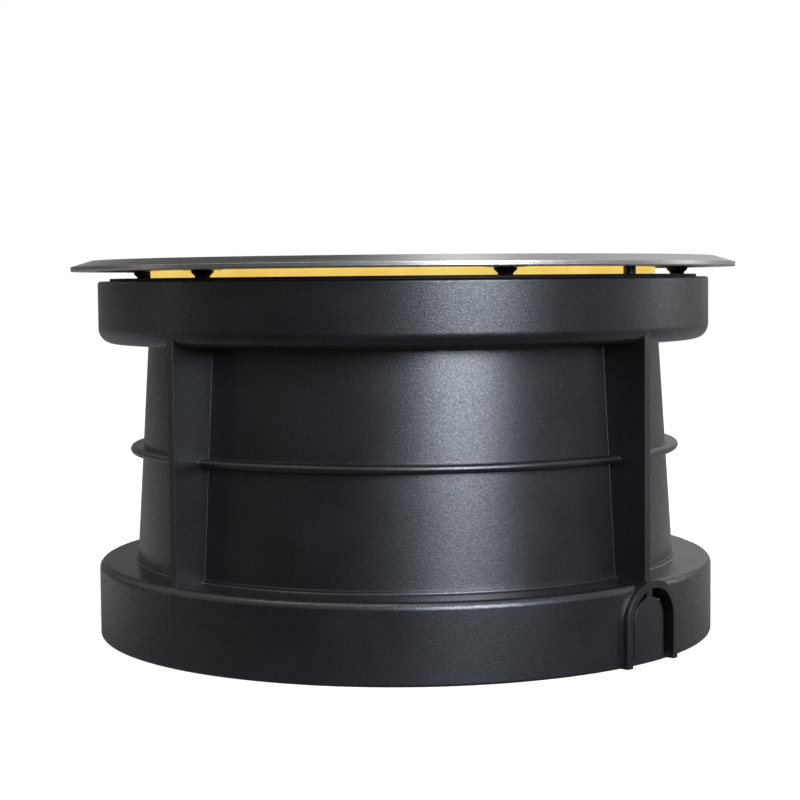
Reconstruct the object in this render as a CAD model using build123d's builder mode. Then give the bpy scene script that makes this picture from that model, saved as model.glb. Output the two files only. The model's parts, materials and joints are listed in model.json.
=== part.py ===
from build123d import *
import math
import os

# In-ground well light: a plastic sleeve set in the ground, and a sealed lamp head that lifts out of it.
# Millimetres. +Z is up, z = 0 is the surface the sleeve stands on, and the Z axis is the sleeve's axis.
# Angles round the axis count from the front (-Y) towards +X.

# --- Driving dimensions: mounting sleeve ---
sleeve_wall = 3.0
flange_step = 1.2
flange_height = 30.0
flange_edge_fillet = 3.0
flange_foot_fillet = 1.0
waist_flare = 5.6
waist_top_radius = 104.5
waist_height = 88.0
waist_root_fillet = 0.8
waist_root_step = 0.6
waist_root_height = 1.4
waist_clearance = 3.0
band_margin = 12.4
band_height = 24.8
band_foot_fillet = 6.0
band_top_fillet = 1.2
sleeve_clearance = 1.8
rib_level = 45.0
rib_reach = 5.1
rib_thickness = 3.4
gusset_count = 4
gusset_bearing = 46.4
gusset_thickness = 3.2
gusset_inset = 1.8
gusset_rise = 4.2
seam_count = 2
seam_width = 0.8
seam_reach = 0.35
seam_foot = 5.0
arch_count = 2
arch_bearing = 45.9
arch_width = 30.7
arch_bead = 2.85
arch_reach = 2.4
arch_slot = 3.6
arch_rise = 1.2
arch_web = 3.3
arch_foot_web = 2.4
rim_gasket_inset = 4.7
rim_gasket_width = 2.4
rim_gasket_sink = 1.2
rim_gasket_stand = 1.05

# --- Driving dimensions: ring fastening ---
ring_screw_count = 6
ring_screw_bearing = 19.0
ring_screw_inset = 7.0
ring_screw_diameter = 4.0
ring_screw_length = 24.0
ring_screw_head = 8.0
head_sink = 0.3
boss_diameter = 10.5
insert_diameter = 6.4
insert_length = 12.0
grommet_flange = 8.4
grommet_neck = 5.6
grommet_flange_thickness = 0.8
grommet_taper = 1.3
washer_diameter = 14.6
washer_thickness = 0.6
washer_stand = 0.15
jack_bearing = 49.0
jack_count = 2
jack_diameter = 4.7

# --- Driving dimensions: trim ring, lens and gasket ---
ring_radius = 135.0
ring_thickness = 4.4
ring_gap = 3.9
ring_rim = 1.9
ring_bevel = 8.3
window_lap = 5.3
window_chamfer = 0.8
lens_thickness = 8.0
lens_chamfer = 0.6
gasket_overhang = 6.7
gasket_wall = 6.4
gasket_edge = 1.4
gasket_lip = 0.5
gasket_lip_width = 4.4
gasket_seat = 3.7
rebate_depth = 2.4

# --- Driving dimensions: lamp housing ---
housing_taper = 4.0
housing_foot_fillet = 1.5
housing_wall = 4.0
housing_flange_thickness = 4.0
housing_flange_inset = 0.4
bezel_ledge_depth = 6.0
bezel_ledge_width = 2.0
optic_floor_depth = 64.0
floor_thickness = 4.0
gear_depth = 32.0
foot_lip_thickness = 8.0
foot_land = 17.5
fin_count = 24
fin_thickness = 2.2
fin_reach = 2.0
fin_margin = 6.0
clamp_count = 12
clamp_diameter = 2.5
clamp_head = 4.5
clamp_head_height = 2.0

# --- Driving dimensions: glare bezel and turntable ---
bezel_clearance = 10.0
bezel_drop = 14.0
bezel_thickness = 1.6
turntable_margin = 10.5
ear_land = 8.0
turntable_thickness = 3.0
ear_span = 140.0
ear_thickness = 3.0
ear_width = 24.0
ear_crown = 9.0
pivot_level = 34.0
pivot_diameter = 5.0
pivot_head = 9.0
pivot_head_thickness = 2.0
clip_count = 3
clip_width = 12.0
clip_overhang = 3.0
clip_thickness = 2.2
clip_bearing = 60.0

# --- Driving dimensions: tilting light engine ---
plate_radius = 60.0
plate_thickness = 5.0
plate_drop = 4.0
sink_fin_count = 9
sink_fin_pitch = 10.0
sink_fin_thickness = 2.2
sink_fin_depth = 20.0
sink_fin_half_length = 44.0
trunnion_web = 3.6
trunnion_width = 14.0
trunnion_crown = 7.0
trunnion_drop = 19.0
board_radius = 52.5
board_thickness = 1.6
holder_radius = 56.0
holder_clearance = 1.0
holder_height = 17.0
holder_wall = 2.0
led_inner_count = 3
led_inner_circle = 14.0
led_outer_count = 9
led_outer_circle = 36.0
led_side = 3.5
led_height = 1.3
lens_gap = 0.3
collimator_mouth = 9.6
collimator_throat = 4.0
throat_wall = 1.2
throat_depth = 4.0
collimator_flange = 10.4
collimator_flange_thickness = 1.2
board_screw_circle = 49.3
board_screw_count = 3
board_screw_diameter = 3.0
board_screw_head = 5.5
board_screw_height = 2.4
board_tab_width = 9.0
board_tab_thickness = 2.0
lock_drop = 14.0
lock_diameter = 3.0
lock_knob = 10.0
lock_knob_thickness = 4.0
tilt_limit = 15.0

# --- Driving dimensions: gear chamber and cable entry ---
driver_margin = 37.5
driver_width = 46.0
driver_height = 22.0
driver_set_back = 33.0
driver_tab = 9.0
driver_tab_width = 12.6
driver_corner = 3.0
driver_tab_thickness = 3.0
terminal_length = 36.0
terminal_width = 18.0
terminal_height = 14.0
terminal_x = -22.0
terminal_y = 36.0
terminal_ways = 4
lead_count = 3
lead_diameter = 2.4
earth_x = 24.0
earth_y = 22.0
grommet_bore = 5.0
grommet_collar = 14.0
grommet_collar_thickness = 1.5
grommet_waist = 11.0
driver_screw_diameter = 3.0
terminal_screw_diameter = 2.0
terminal_screw_pitch = 30.0
earth_screw_diameter = 4.0
clip_screw_diameter = 2.5
clip_screw_head = 4.6
clip_screw_height = 1.8
cover_screw_diameter = 4.0
blind_margin = 1.0
cover_inset = 1.5
cover_thickness = 4.0
cover_gasket_inset = 10.0
cover_gasket_width = 4.0
cover_gasket_thickness = 1.5
cover_screw_inset = 4.8
cover_screw_count = 6
gland_margin = 23.0
gland_thread = 20.0
gland_bore = 11.0
gland_flats = 24.0
gland_hex_height = 6.0
gland_neck = 17.0
gland_neck_height = 10.0
gland_nut_height = 14.0
gland_locknut_height = 5.0
cable_diameter = 9.0
seal_wall = 1.6
vent_bearing = 135.0
vent_margin = 5.0
vent_thread = 10.0
vent_cap = 15.0
vent_cap_height = 4.0

# --- Fits ---
thread_clearance = 0.08
shank_clearance = 0.4
seat_clearance = 0.3
slip_clearance = 0.1
pin_clearance = 0.05

# --- Levels that follow from the driving dimensions ---
waist_top = flange_height + waist_height
sleeve_top = waist_top + band_height
ring_bottom = sleeve_top + ring_gap
ring_top = ring_bottom + ring_thickness
lens_top = ring_bottom + rebate_depth - gasket_lip
lens_bottom = lens_top - lens_thickness
housing_top = lens_bottom - gasket_seat
housing_flange_bottom = housing_top - housing_flange_thickness
ledge_level = housing_top - bezel_ledge_depth
optic_floor = housing_top - optic_floor_depth
gear_ceiling = optic_floor - floor_thickness
housing_bottom = gear_ceiling - gear_depth
foot_lip_top = housing_bottom + foot_lip_thickness
cover_bottom = housing_bottom - cover_thickness
turntable_bottom = optic_floor + seat_clearance
turntable_top = turntable_bottom + turntable_thickness
pivot_z = optic_floor + pivot_level
plate_bottom = pivot_z - plate_drop
plate_top = plate_bottom + plate_thickness
board_top = plate_top + board_thickness
holder_top = plate_top + holder_height

# --- Radii that follow from the driving dimensions ---
waist_foot_radius = waist_top_radius + waist_flare
waist_root_radius = waist_foot_radius + waist_root_step
housing_radius = waist_top_radius - sleeve_wall - waist_clearance - fin_reach
housing_foot_radius = housing_radius - housing_taper
foot_lip_radius = housing_foot_radius - foot_land
gasket_radius = housing_radius + gasket_overhang
lens_radius = gasket_radius - gasket_wall
window_radius = lens_radius - window_lap
sleeve_opening = gasket_radius + sleeve_clearance
ring_screw_circle = sleeve_opening + ring_screw_inset
band_radius = ring_screw_circle + band_margin
rim_gasket_radius = band_radius - rim_gasket_inset
flange_radius = band_radius + flange_step
gusset_radius = flange_radius - gusset_inset
rebate_radius = lens_radius + gasket_edge + slip_clearance
housing_flange_radius = gasket_radius - housing_flange_inset
chamber_radius = housing_radius - housing_wall
ledge_radius = chamber_radius - bezel_ledge_width
clamp_circle = (rebate_radius + housing_flange_radius) / 2
bezel_mouth_radius = holder_radius + bezel_clearance
turntable_radius = housing_foot_radius - turntable_margin
ear_inner = ear_span / 2
turntable_opening = ear_inner - ear_land
turntable_width = turntable_radius - turntable_opening
driver_length = 2 * (housing_foot_radius - driver_margin)
cover_radius = housing_foot_radius - cover_inset
cover_gasket_radius = cover_radius - cover_gasket_inset
cover_screw_circle = cover_radius - cover_screw_inset
gland_y = foot_lip_radius - gland_margin
vent_circle = foot_lip_radius - vent_margin - vent_thread / 2


def bearing(angle):
    """The angle from +X for an angle that counts from the front."""
    return angle - 90


def waist_radius(height):
    """Outer radius of the waist at a height above the flange."""
    return waist_foot_radius + (waist_top_radius - waist_foot_radius) * height / waist_height


def housing_outer(level):
    """Outer radius of the housing wall at a level."""
    share = (housing_flange_bottom - level) / (housing_flange_bottom - housing_bottom)
    return housing_radius + (housing_foot_radius - housing_radius) * share


def housing_inner(level):
    """Inner radius of the housing wall below the bezel's ledge."""
    return housing_outer(level) - housing_wall - bezel_ledge_width


def radial_plane(angle, radius):
    """A plane that faces outwards at an angle, with its x axis level and its y axis up."""
    turn = math.radians(bearing(angle))
    outwards = (math.cos(turn), math.sin(turn), 0)
    origin = (radius * outwards[0], radius * outwards[1], 0)
    return Plane(origin=origin, x_dir=(-outwards[1], outwards[0], 0), z_dir=outwards)


def screw(diameter, length, head, head_height, key):
    """A socket screw with its head's seat at z = 0, its shank down and its head up."""
    with BuildPart() as body:
        with BuildSketch(Plane.XY):
            Circle(diameter / 2)
        extrude(amount=-length)
        chamfer(body.faces().sort_by(Axis.Z)[0].edges(), diameter * 0.12)
        with BuildSketch(Plane.XY):
            Circle(head / 2)
        extrude(amount=head_height)
        chamfer(body.faces().sort_by(Axis.Z)[-1].edges(), head_height * 0.15)
        with BuildSketch(Plane.XY.offset(head_height)):
            RegularPolygon(key / 2, 6, major_radius=False)
        extrude(amount=-head_height * 0.6, mode=Mode.SUBTRACT)
    return body.part


def arch_outline(half_width, height):
    """An upright arch with a flat foot at y = 0 and a half-round top."""
    shoulder = height - half_width
    with BuildSketch() as outline:
        with BuildLine():
            Polyline((half_width, shoulder), (half_width, 0), (-half_width, 0), (-half_width, shoulder))
            ThreePointArc((-half_width, shoulder), (0, height), (half_width, shoulder))
        make_face()
    return outline.sketch


# --- Mounting sleeve ---
arch_half = arch_width / 2
arch_height = flange_height + arch_rise
slot_half = arch_half - arch_bead
slot_height = arch_height - arch_bead
panel_half = slot_half - arch_slot
panel_height = slot_height - arch_slot

with BuildPart() as arch_frame:
    with BuildSketch(radial_plane(arch_bearing, flange_radius - sleeve_wall)):
        add(arch_outline(arch_half, arch_height))
    extrude(amount=arch_reach + 2 * sleeve_wall)
    with BuildSketch(Plane.XY):
        Circle(flange_radius + arch_reach)
        Circle(flange_radius - sleeve_wall / 2, mode=Mode.SUBTRACT)
    extrude(amount=arch_height, mode=Mode.INTERSECT)
    with BuildSketch(radial_plane(arch_bearing, flange_radius - 2 * sleeve_wall)):
        add(arch_outline(slot_half, slot_height))
    extrude(amount=arch_reach + 3 * sleeve_wall, mode=Mode.SUBTRACT)

with BuildPart() as arch_gap:
    with BuildSketch(radial_plane(arch_bearing, flange_radius - 2 * sleeve_wall)):
        add(arch_outline(slot_half, slot_height))
        add(arch_outline(panel_half, panel_height), mode=Mode.SUBTRACT)
        with Locations((0, slot_height)):
            Rectangle(arch_web, 2 * arch_slot + arch_web, mode=Mode.SUBTRACT)
        with Locations((0, 0)):
            Rectangle(arch_width, 2 * arch_foot_web, mode=Mode.SUBTRACT)
    extrude(amount=arch_reach + 3 * sleeve_wall)

with BuildPart() as gusset:
    with BuildSketch(Plane.XZ):
        with BuildLine():
            Polyline(
                (waist_top_radius - sleeve_wall / 2, flange_height - sleeve_wall / 2),
                (gusset_radius, flange_height - sleeve_wall / 2),
                (gusset_radius, waist_top + gusset_rise),
                (band_radius - band_foot_fillet, waist_top + sleeve_wall / 2),
                (waist_top_radius - sleeve_wall / 2, waist_top + sleeve_wall / 2),
                close=True,
            )
        make_face()
    extrude(amount=gusset_thickness / 2, both=True)

with BuildPart() as mounting_sleeve:
    with BuildSketch(Plane.XZ) as sleeve_profile:
        foot_inner = flange_radius - sleeve_wall
        band_inner = band_radius - sleeve_wall
        waist_foot_inner = waist_foot_radius - sleeve_wall
        waist_top_inner = waist_top_radius - sleeve_wall
        with BuildLine():
            Polyline(
                (foot_inner, 0),
                (flange_radius, 0),
                (flange_radius, flange_height),
                (waist_root_radius, flange_height),
                (waist_root_radius, flange_height + waist_root_height),
                (waist_radius(waist_root_height), flange_height + waist_root_height),
                (waist_top_radius, waist_top),
                (band_radius, waist_top),
                (band_radius, sleeve_top),
                (sleeve_opening, sleeve_top),
                (sleeve_opening, sleeve_top - sleeve_wall),
                (band_inner, sleeve_top - sleeve_wall),
                (band_inner, waist_top + sleeve_wall),
                (waist_top_inner, waist_top + sleeve_wall),
                (waist_foot_inner, flange_height - sleeve_wall),
                (foot_inner, flange_height - sleeve_wall),
                close=True,
            )
        make_face()
        for corner, radius in (
            ((flange_radius, 0), flange_foot_fillet),
            ((flange_radius, flange_height), flange_edge_fillet),
            ((band_radius, waist_top), band_foot_fillet),
            ((band_radius, sleeve_top), band_top_fillet),
            ((waist_root_radius, flange_height), waist_root_fillet),
            ((band_inner, waist_top + sleeve_wall), max(band_foot_fillet - sleeve_wall, slip_clearance)),
        ):
            fillet(sleeve_profile.vertices().sort_by_distance(corner)[0], radius)
    revolve(axis=Axis.Z)
    # Rounded rib round the waist
    rib_root = waist_radius(rib_level) - sleeve_wall / 2
    rib_tip = waist_radius(rib_level) + rib_reach
    with BuildSketch(Plane.XZ):
        with Locations(((rib_root + rib_tip) / 2, flange_height + rib_level)):
            SlotOverall(rib_tip - rib_root, rib_thickness)
    revolve(axis=Axis.Z)
    # Upright gussets between the flange and the band
    with PolarLocations(0, gusset_count, start_angle=bearing(gusset_bearing)):
        add(gusset.part)
    with BuildSketch(Plane.XZ):
        with BuildLine():
            Polyline(
                (0, flange_height - sleeve_wall),
                (waist_foot_inner, flange_height - sleeve_wall),
                (waist_top_inner, waist_top + sleeve_wall),
                (0, waist_top + sleeve_wall),
                close=True,
            )
        make_face()
    revolve(axis=Axis.Z, mode=Mode.SUBTRACT)
    # Mould seams down the flange, below the gussets that have no arch
    for seam in range(seam_count):
        seam_angle = gusset_bearing + 360 / gusset_count + seam * 360 / seam_count
        with BuildSketch(radial_plane(seam_angle, flange_radius - sleeve_wall / 2)):
            with Locations((0, (flange_height - flange_edge_fillet + seam_foot) / 2)):
                Rectangle(seam_width, flange_height - flange_edge_fillet - seam_foot)
        extrude(amount=sleeve_wall / 2 + seam_reach)
    # Cable knock-outs: a raised arch, with a panel held by three webs
    with PolarLocations(0, arch_count):
        add(arch_frame.part)
    with PolarLocations(0, arch_count):
        add(arch_gap.part, mode=Mode.SUBTRACT)
    # Screw bosses inside the band, with blind bores for the threaded inserts
    with BuildSketch(Plane.XY.offset(waist_top + sleeve_wall / 2)):
        with PolarLocations(ring_screw_circle, ring_screw_count, start_angle=bearing(ring_screw_bearing)):
            Circle(boss_diameter / 2)
    extrude(amount=band_height - sleeve_wall)
    with BuildSketch(Plane.XY.offset(sleeve_top)):
        with PolarLocations(ring_screw_circle, ring_screw_count, start_angle=bearing(ring_screw_bearing)):
            Circle(insert_diameter / 2 + slip_clearance / 2)
    extrude(amount=-insert_length, mode=Mode.SUBTRACT)
    with BuildSketch(Plane.XY.offset(sleeve_top)):
        with PolarLocations(ring_screw_circle, ring_screw_count, start_angle=bearing(ring_screw_bearing)):
            Circle(ring_screw_diameter / 2 + shank_clearance)
    extrude(amount=-band_height + sleeve_wall / 2, mode=Mode.SUBTRACT)
    # Groove for the rim gasket
    with BuildSketch(Plane.XY.offset(sleeve_top)):
        Circle(rim_gasket_radius)
        Circle(rim_gasket_radius - rim_gasket_width, mode=Mode.SUBTRACT)
    extrude(amount=-rim_gasket_sink, mode=Mode.SUBTRACT)
mounting_sleeve.part.label = "mounting_sleeve"

with BuildPart() as sleeve_rim_gasket:
    with BuildSketch(Plane.XY.offset(sleeve_top - rim_gasket_sink)):
        Circle(rim_gasket_radius - slip_clearance)
        Circle(rim_gasket_radius - rim_gasket_width + slip_clearance, mode=Mode.SUBTRACT)
    extrude(amount=rim_gasket_sink + rim_gasket_stand)
    fillet(
        sleeve_rim_gasket.faces().sort_by(Axis.Z)[-1].edges(),
        (rim_gasket_width / 2 - slip_clearance) * 0.4,
    )
sleeve_rim_gasket.part.label = "sleeve_rim_gasket"

with BuildPart() as sleeve_inserts:
    with BuildSketch(Plane.XY.offset(sleeve_top - insert_length)):
        with PolarLocations(ring_screw_circle, ring_screw_count, start_angle=bearing(ring_screw_bearing)):
            Circle(insert_diameter / 2)
            Circle(ring_screw_diameter / 2 + thread_clearance, mode=Mode.SUBTRACT)
    extrude(amount=insert_length)
sleeve_inserts.part.label = "sleeve_inserts"

# --- Trim ring and what fastens it ---
head_cone = (ring_screw_head - ring_screw_diameter) / 2

with BuildPart() as trim_ring:
    with BuildSketch(Plane.XZ) as ring_profile:
        with BuildLine():
            Polyline(
                (rebate_radius, ring_bottom),
                (ring_radius, ring_bottom),
                (ring_radius, ring_bottom + ring_rim),
                (ring_radius - ring_bevel, ring_top),
                (window_radius + window_chamfer, ring_top),
                (window_radius, ring_top - window_chamfer),
                (window_radius, ring_bottom + rebate_depth),
                (rebate_radius, ring_bottom + rebate_depth),
                close=True,
            )
        make_face()
        fillet(ring_profile.vertices().sort_by_distance((ring_radius, ring_bottom))[0], ring_rim / 4)
    revolve(axis=Axis.Z)
    with BuildSketch(Plane.XY.offset(ring_bottom)):
        with PolarLocations(clamp_circle, clamp_count):
            Circle(clamp_diameter / 2 + thread_clearance)
    extrude(amount=ring_thickness * 0.75, mode=Mode.SUBTRACT)
    with BuildSketch(Plane.XY.offset(ring_bottom)):
        with PolarLocations(ring_screw_circle, ring_screw_count, start_angle=bearing(ring_screw_bearing)):
            Circle(washer_diameter / 2 + slip_clearance)
    extrude(amount=washer_thickness - washer_stand, mode=Mode.SUBTRACT)
    with PolarLocations(ring_screw_circle, ring_screw_count, start_angle=bearing(ring_screw_bearing)):
        with Locations((0, 0, ring_top)):
            CounterSinkHole(
                radius=ring_screw_diameter / 2 + shank_clearance / 2,
                counter_sink_radius=ring_screw_head / 2 + head_sink,
                depth=ring_thickness,
                counter_sink_angle=90,
            )
    with BuildSketch(Plane.XY.offset(ring_bottom)):
        with PolarLocations(ring_screw_circle, jack_count, start_angle=bearing(jack_bearing)):
            Circle(jack_diameter / 2 + thread_clearance)
    extrude(amount=ring_thickness, mode=Mode.SUBTRACT)
trim_ring.part.label = "trim_ring"

with BuildPart() as ring_screw:
    with BuildSketch(Plane.XZ):
        with BuildLine():
            Polyline(
                (0, ring_top - ring_screw_length),
                (ring_screw_diameter / 2 * 0.7, ring_top - ring_screw_length),
                (ring_screw_diameter / 2, ring_top - ring_screw_length + ring_screw_diameter * 0.3),
                (ring_screw_diameter / 2, ring_top - head_cone - head_sink),
                (ring_screw_head / 2, ring_top - head_sink),
                (0, ring_top - head_sink),
                close=True,
            )
        make_face()
    revolve(axis=Axis.Z)
    with BuildSketch(Plane.XY.offset(ring_top - head_sink)):
        RegularPolygon(ring_screw_diameter * 0.32, 6, major_radius=False)
    extrude(amount=-head_cone * 0.9, mode=Mode.SUBTRACT)

with BuildPart() as ring_screws:
    with PolarLocations(ring_screw_circle, ring_screw_count, start_angle=bearing(ring_screw_bearing)):
        add(ring_screw.part)
ring_screws.part.label = "ring_screws"

washer_bottom = ring_bottom - washer_stand
with BuildPart() as captive_washers:
    with BuildSketch(Plane.XY.offset(washer_bottom)):
        with PolarLocations(ring_screw_circle, ring_screw_count, start_angle=bearing(ring_screw_bearing)):
            Circle(washer_diameter / 2)
            Circle(ring_screw_diameter / 2 + slip_clearance, mode=Mode.SUBTRACT)
    extrude(amount=washer_thickness)
captive_washers.part.label = "captive_washers"

with BuildPart() as screw_grommet:
    with BuildSketch(Plane.XZ):
        bore = ring_screw_diameter / 2 + slip_clearance
        with BuildLine():
            Polyline(
                (bore, sleeve_top),
                (grommet_neck / 2, sleeve_top),
                (grommet_neck / 2, washer_bottom - grommet_flange_thickness - grommet_taper),
                (grommet_flange / 2, washer_bottom - grommet_flange_thickness),
                (grommet_flange / 2, washer_bottom),
                (bore, washer_bottom),
                close=True,
            )
        make_face()
    revolve(axis=Axis.Z)

with BuildPart() as screw_grommets:
    with PolarLocations(ring_screw_circle, ring_screw_count, start_angle=bearing(ring_screw_bearing)):
        add(screw_grommet.part)
screw_grommets.part.label = "screw_grommets"

with BuildPart() as jacking_screws:
    with BuildSketch(Plane.XY.offset(sleeve_top)):
        with PolarLocations(ring_screw_circle, jack_count, start_angle=bearing(jack_bearing)):
            Circle(jack_diameter / 2)
    extrude(amount=ring_top - head_sink - sleeve_top)
    with BuildSketch(Plane.XY.offset(ring_top - head_sink)):
        with PolarLocations(ring_screw_circle, jack_count, start_angle=bearing(jack_bearing)):
            RegularPolygon(jack_diameter * 0.27, 6, major_radius=False)
    extrude(amount=-ring_thickness * 0.6, mode=Mode.SUBTRACT)
    chamfer(jacking_screws.faces().group_by(Axis.Z)[0].edges(), jack_diameter * 0.08)
jacking_screws.part.label = "jacking_screws"

# --- Lens and its gasket ---
with BuildPart() as lens_glass:
    with BuildSketch(Plane.XY.offset(lens_bottom)):
        Circle(lens_radius)
    extrude(amount=lens_thickness)
    chamfer(lens_glass.edges().filter_by(GeomType.CIRCLE), lens_chamfer)
lens_glass.part.label = "lens_glass"

with BuildPart() as lens_gasket:
    with BuildSketch(Plane.XZ):
        edge_radius = lens_radius + gasket_edge
        groove_radius = lens_radius + slip_clearance
        with BuildLine():
            Polyline(
                (ledge_radius - bezel_ledge_width, housing_top),
                (gasket_radius, housing_top),
                (gasket_radius, ring_bottom),
                (edge_radius, ring_bottom),
                (edge_radius, ring_bottom + rebate_depth),
                (edge_radius - gasket_lip_width, ring_bottom + rebate_depth),
                (edge_radius - gasket_lip_width, lens_top),
                (groove_radius, lens_top),
                (groove_radius, lens_bottom),
                (ledge_radius - bezel_ledge_width, lens_bottom),
                close=True,
            )
        make_face()
    revolve(axis=Axis.Z)
    with BuildSketch(Plane.XY.offset(housing_top)):
        with PolarLocations(clamp_circle, clamp_count):
            Circle(clamp_diameter / 2 + slip_clearance)
    extrude(amount=ring_bottom - housing_top, mode=Mode.SUBTRACT)
lens_gasket.part.label = "lens_gasket"

# --- Lamp housing ---
fin_top = housing_flange_bottom - fin_margin
fin_bottom = housing_bottom + fin_margin
floor_radius = housing_inner(optic_floor)
ceiling_radius = housing_inner(gear_ceiling)
gear_foot_radius = housing_inner(foot_lip_top)
clip_outer = housing_inner(optic_floor) - seat_clearance
clip_inner = turntable_radius + seat_clearance
clip_circle = (clip_inner + clip_outer) / 2
driver_screw_x = (driver_length + driver_tab) / 2
driver_screw_spots = [(side * driver_screw_x, -driver_set_back) for side in (-1, 1)]
terminal_screw_spots = [(terminal_x + side * terminal_screw_pitch / 2, terminal_y) for side in (-1, 1)]

with BuildPart() as lamp_housing:
    with BuildSketch(Plane.XZ) as housing_profile:
        with BuildLine():
            Polyline(
                (foot_lip_radius, housing_bottom),
                (housing_foot_radius, housing_bottom),
                (housing_radius, housing_flange_bottom),
                (housing_flange_radius, housing_flange_bottom),
                (housing_flange_radius, housing_top),
                (chamber_radius, housing_top),
                (chamber_radius, ledge_level),
                (ledge_radius, ledge_level),
                (floor_radius, optic_floor),
                (0, optic_floor),
                (0, gear_ceiling),
                (ceiling_radius, gear_ceiling),
                (gear_foot_radius, foot_lip_top),
                (foot_lip_radius, foot_lip_top),
                close=True,
            )
        make_face()
        foot_corner = housing_profile.vertices().sort_by_distance((housing_foot_radius, housing_bottom))[0]
        fillet(foot_corner, housing_foot_fillet)
    revolve(axis=Axis.Z)
    with BuildSketch(Plane.XY.offset(fin_bottom)):
        with PolarLocations(0, fin_count):
            with Locations((housing_radius - housing_wall / 2 + fin_reach / 2, 0)):
                Rectangle(housing_wall + fin_reach, fin_thickness)
    extrude(amount=fin_top - fin_bottom)
    # Threaded holes: clamp screws in the flange, cover screws in the foot
    with BuildSketch(Plane.XY.offset(housing_flange_bottom)):
        with PolarLocations(clamp_circle, clamp_count):
            Circle(clamp_diameter / 2 + slip_clearance)
    extrude(amount=housing_flange_thickness, mode=Mode.SUBTRACT)
    with BuildSketch(Plane.XY.offset(housing_bottom)):
        with PolarLocations(cover_screw_circle, cover_screw_count):
            Circle(cover_screw_diameter / 2 + thread_clearance)
    extrude(amount=foot_lip_thickness - blind_margin, mode=Mode.SUBTRACT)
    # Hole for the lead grommet
    with BuildSketch(Plane.XY.offset(gear_ceiling)):
        Circle(grommet_waist / 2 + slip_clearance)
    extrude(amount=floor_thickness, mode=Mode.SUBTRACT)
    # Blind threaded holes in the floor, for the gear below it and the turntable's clips above it
    with BuildSketch(Plane.XY.offset(gear_ceiling)):
        with Locations(*driver_screw_spots):
            Circle(driver_screw_diameter / 2 + thread_clearance)
        with Locations((earth_x, earth_y)):
            Circle(earth_screw_diameter / 2 + thread_clearance)
        with Locations(*terminal_screw_spots):
            Circle(terminal_screw_diameter / 2 + thread_clearance)
    extrude(amount=floor_thickness - blind_margin, mode=Mode.SUBTRACT)
    with BuildSketch(Plane.XY.offset(optic_floor)):
        with PolarLocations(clip_circle, clip_count, start_angle=bearing(clip_bearing)):
            Circle(clip_screw_diameter / 2 + thread_clearance)
    extrude(amount=blind_margin - floor_thickness, mode=Mode.SUBTRACT)
lamp_housing.part.label = "lamp_housing"

with BuildPart() as clamp_screws:
    with PolarLocations(clamp_circle, clamp_count):
        with Locations(Location((0, 0, housing_flange_bottom), (180, 0, 0))):
            add(
                screw(
                    clamp_diameter,
                    ring_bottom + ring_thickness * 0.7 - housing_flange_bottom,
                    clamp_head,
                    clamp_head_height,
                    clamp_diameter * 0.8,
                )
            )
clamp_screws.part.label = "clamp_screws"

# --- Glare bezel: a shallow black cone under the lens, trapped between the ledge and the gasket ---
bezel_lip = chamber_radius - slip_clearance

with BuildPart() as glare_bezel:
    with BuildSketch(Plane.XZ):
        with BuildLine():
            Polyline(
                (ledge_radius - seat_clearance, ledge_level),
                (bezel_lip, ledge_level),
                (bezel_lip, housing_top),
                (bezel_lip - bezel_thickness, housing_top),
                (bezel_lip - bezel_thickness, ledge_level + bezel_thickness),
                (bezel_mouth_radius, ledge_level - bezel_drop + bezel_thickness),
                (bezel_mouth_radius, ledge_level - bezel_drop),
                close=True,
            )
        make_face()
    revolve(axis=Axis.Z)
glare_bezel.part.label = "glare_bezel"

# --- Turntable: turns on the housing floor and carries the tilting light engine between two ears ---
pivot_plane = Plane(origin=(0, 0, pivot_z), x_dir=(0, 1, 0), z_dir=(1, 0, 0))
ear_top = pivot_z + ear_crown
lock_path = CenterArc((0, 0), lock_drop, 270 - tilt_limit, 2 * tilt_limit)

with BuildPart() as turntable:
    with BuildSketch(Plane.XY.offset(turntable_bottom)):
        Circle(turntable_radius)
        Circle(turntable_radius - turntable_width, mode=Mode.SUBTRACT)
    extrude(amount=turntable_thickness)
    for side in (-1, 1):
        with BuildSketch(pivot_plane.offset(side * ear_inner)):
            with Locations((0, (ear_crown + turntable_bottom - pivot_z) / 2)):
                Rectangle(ear_width, ear_top - turntable_bottom)
        extrude(amount=side * ear_thickness)
    fillet(turntable.edges().filter_by(Axis.X).group_by(Axis.Z)[-1], ear_crown * 0.8)
    with BuildSketch(pivot_plane.offset(-ear_inner - ear_thickness)):
        Circle(pivot_diameter / 2 + pin_clearance)
    extrude(amount=2 * (ear_inner + ear_thickness), mode=Mode.SUBTRACT)
    with BuildSketch(pivot_plane.offset(ear_inner)):
        SlotArc(lock_path, lock_diameter + 2 * shank_clearance)
    extrude(amount=ear_thickness, mode=Mode.SUBTRACT)
turntable.part.label = "turntable"

clip_hold = turntable_top + seat_clearance
clip_top = clip_hold + clip_thickness
clip_sweep = math.degrees(clip_width / clip_circle)

with BuildPart() as turntable_clip:
    with BuildSketch(Plane.XZ):
        with BuildLine():
            Polyline(
                (clip_inner, optic_floor),
                (clip_outer, optic_floor),
                (clip_outer, clip_top),
                (clip_inner - clip_overhang, clip_top),
                (clip_inner - clip_overhang, clip_hold),
                (clip_inner, clip_hold),
                close=True,
            )
        make_face()
    revolve(axis=Axis.Z, revolution_arc=clip_sweep)
    with BuildSketch(Plane.XY.offset(optic_floor)):
        with PolarLocations(clip_circle, 1, start_angle=clip_sweep / 2):
            Circle(clip_screw_diameter / 2 + slip_clearance)
    extrude(amount=clip_top - optic_floor, mode=Mode.SUBTRACT)

with BuildPart() as turntable_clips:
    with PolarLocations(0, clip_count, start_angle=bearing(clip_bearing) - clip_sweep / 2):
        add(turntable_clip.part)
turntable_clips.part.label = "turntable_clips"

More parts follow.
